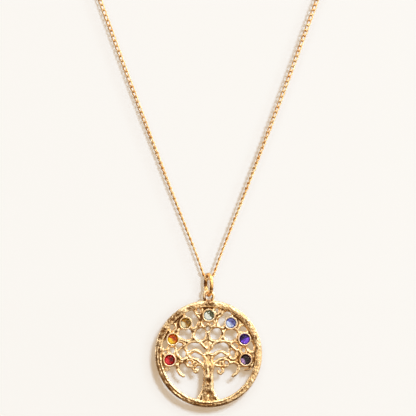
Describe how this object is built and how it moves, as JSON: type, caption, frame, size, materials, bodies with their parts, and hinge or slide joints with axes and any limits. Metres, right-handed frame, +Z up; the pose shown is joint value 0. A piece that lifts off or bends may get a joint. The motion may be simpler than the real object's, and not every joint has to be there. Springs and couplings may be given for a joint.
{
  "type": "pendant necklace",
  "caption": "Fine curb chain with a jump ring and a round pierced tree pendant that holds an arc of small round faceted stones in rainbow colours.",
  "frame": {"origin": "underside of the closed clasp at the top of the hanging loop, in the middle of its length", "axes": "+Z up, along the hanging necklace; the pendant's front faces -Y; +X to the right seen from the front"},
  "size_m": [0.0968, 0.0048, 0.2176],
  "materials": {
    "gold_casting": "cast, hammered and polished, gold plated, darker in the recesses",
    "gold_wire": "drawn wire, polished, gold plated",
    "stone_red": "clear red, polished and faceted",
    "stone_orange": "clear orange, polished and faceted",
    "stone_yellow": "clear golden yellow, polished and faceted",
    "stone_green": "clear pale green, polished and faceted",
    "stone_blue": "clear light blue, polished and faceted",
    "stone_indigo": "clear deep blue violet, polished and faceted",
    "stone_purple": "clear purple, polished and faceted"
  },
  "bodies": {
    "chain": {"chain": "gold_wire", "clasp": "gold_wire"},
    "jump_ring": {"jump_ring": "gold_wire"},
    "pendant": {"pendant_frame": "gold_casting", "stone_red": "stone_red", "stone_orange": "stone_orange", "stone_yellow": "stone_yellow", "stone_green": "stone_green", "stone_blue": "stone_blue", "stone_indigo": "stone_indigo", "stone_purple": "stone_purple"}
  },
  "joints": [
    {"name": "ring_swing", "type": "hinge", "parent": "chain", "child": "jump_ring", "pos_m": [0, 0, -0.1883], "axis": [0.9563, 0.2924, 0], "range_deg": [-75, 75]},
    {"name": "pendant_swing", "type": "hinge", "parent": "jump_ring", "child": "pendant", "pos_m": [0, 0, -0.19156], "axis": [-0.2924, 0.9563, 0], "range_deg": [-75, 75]}
  ]
}
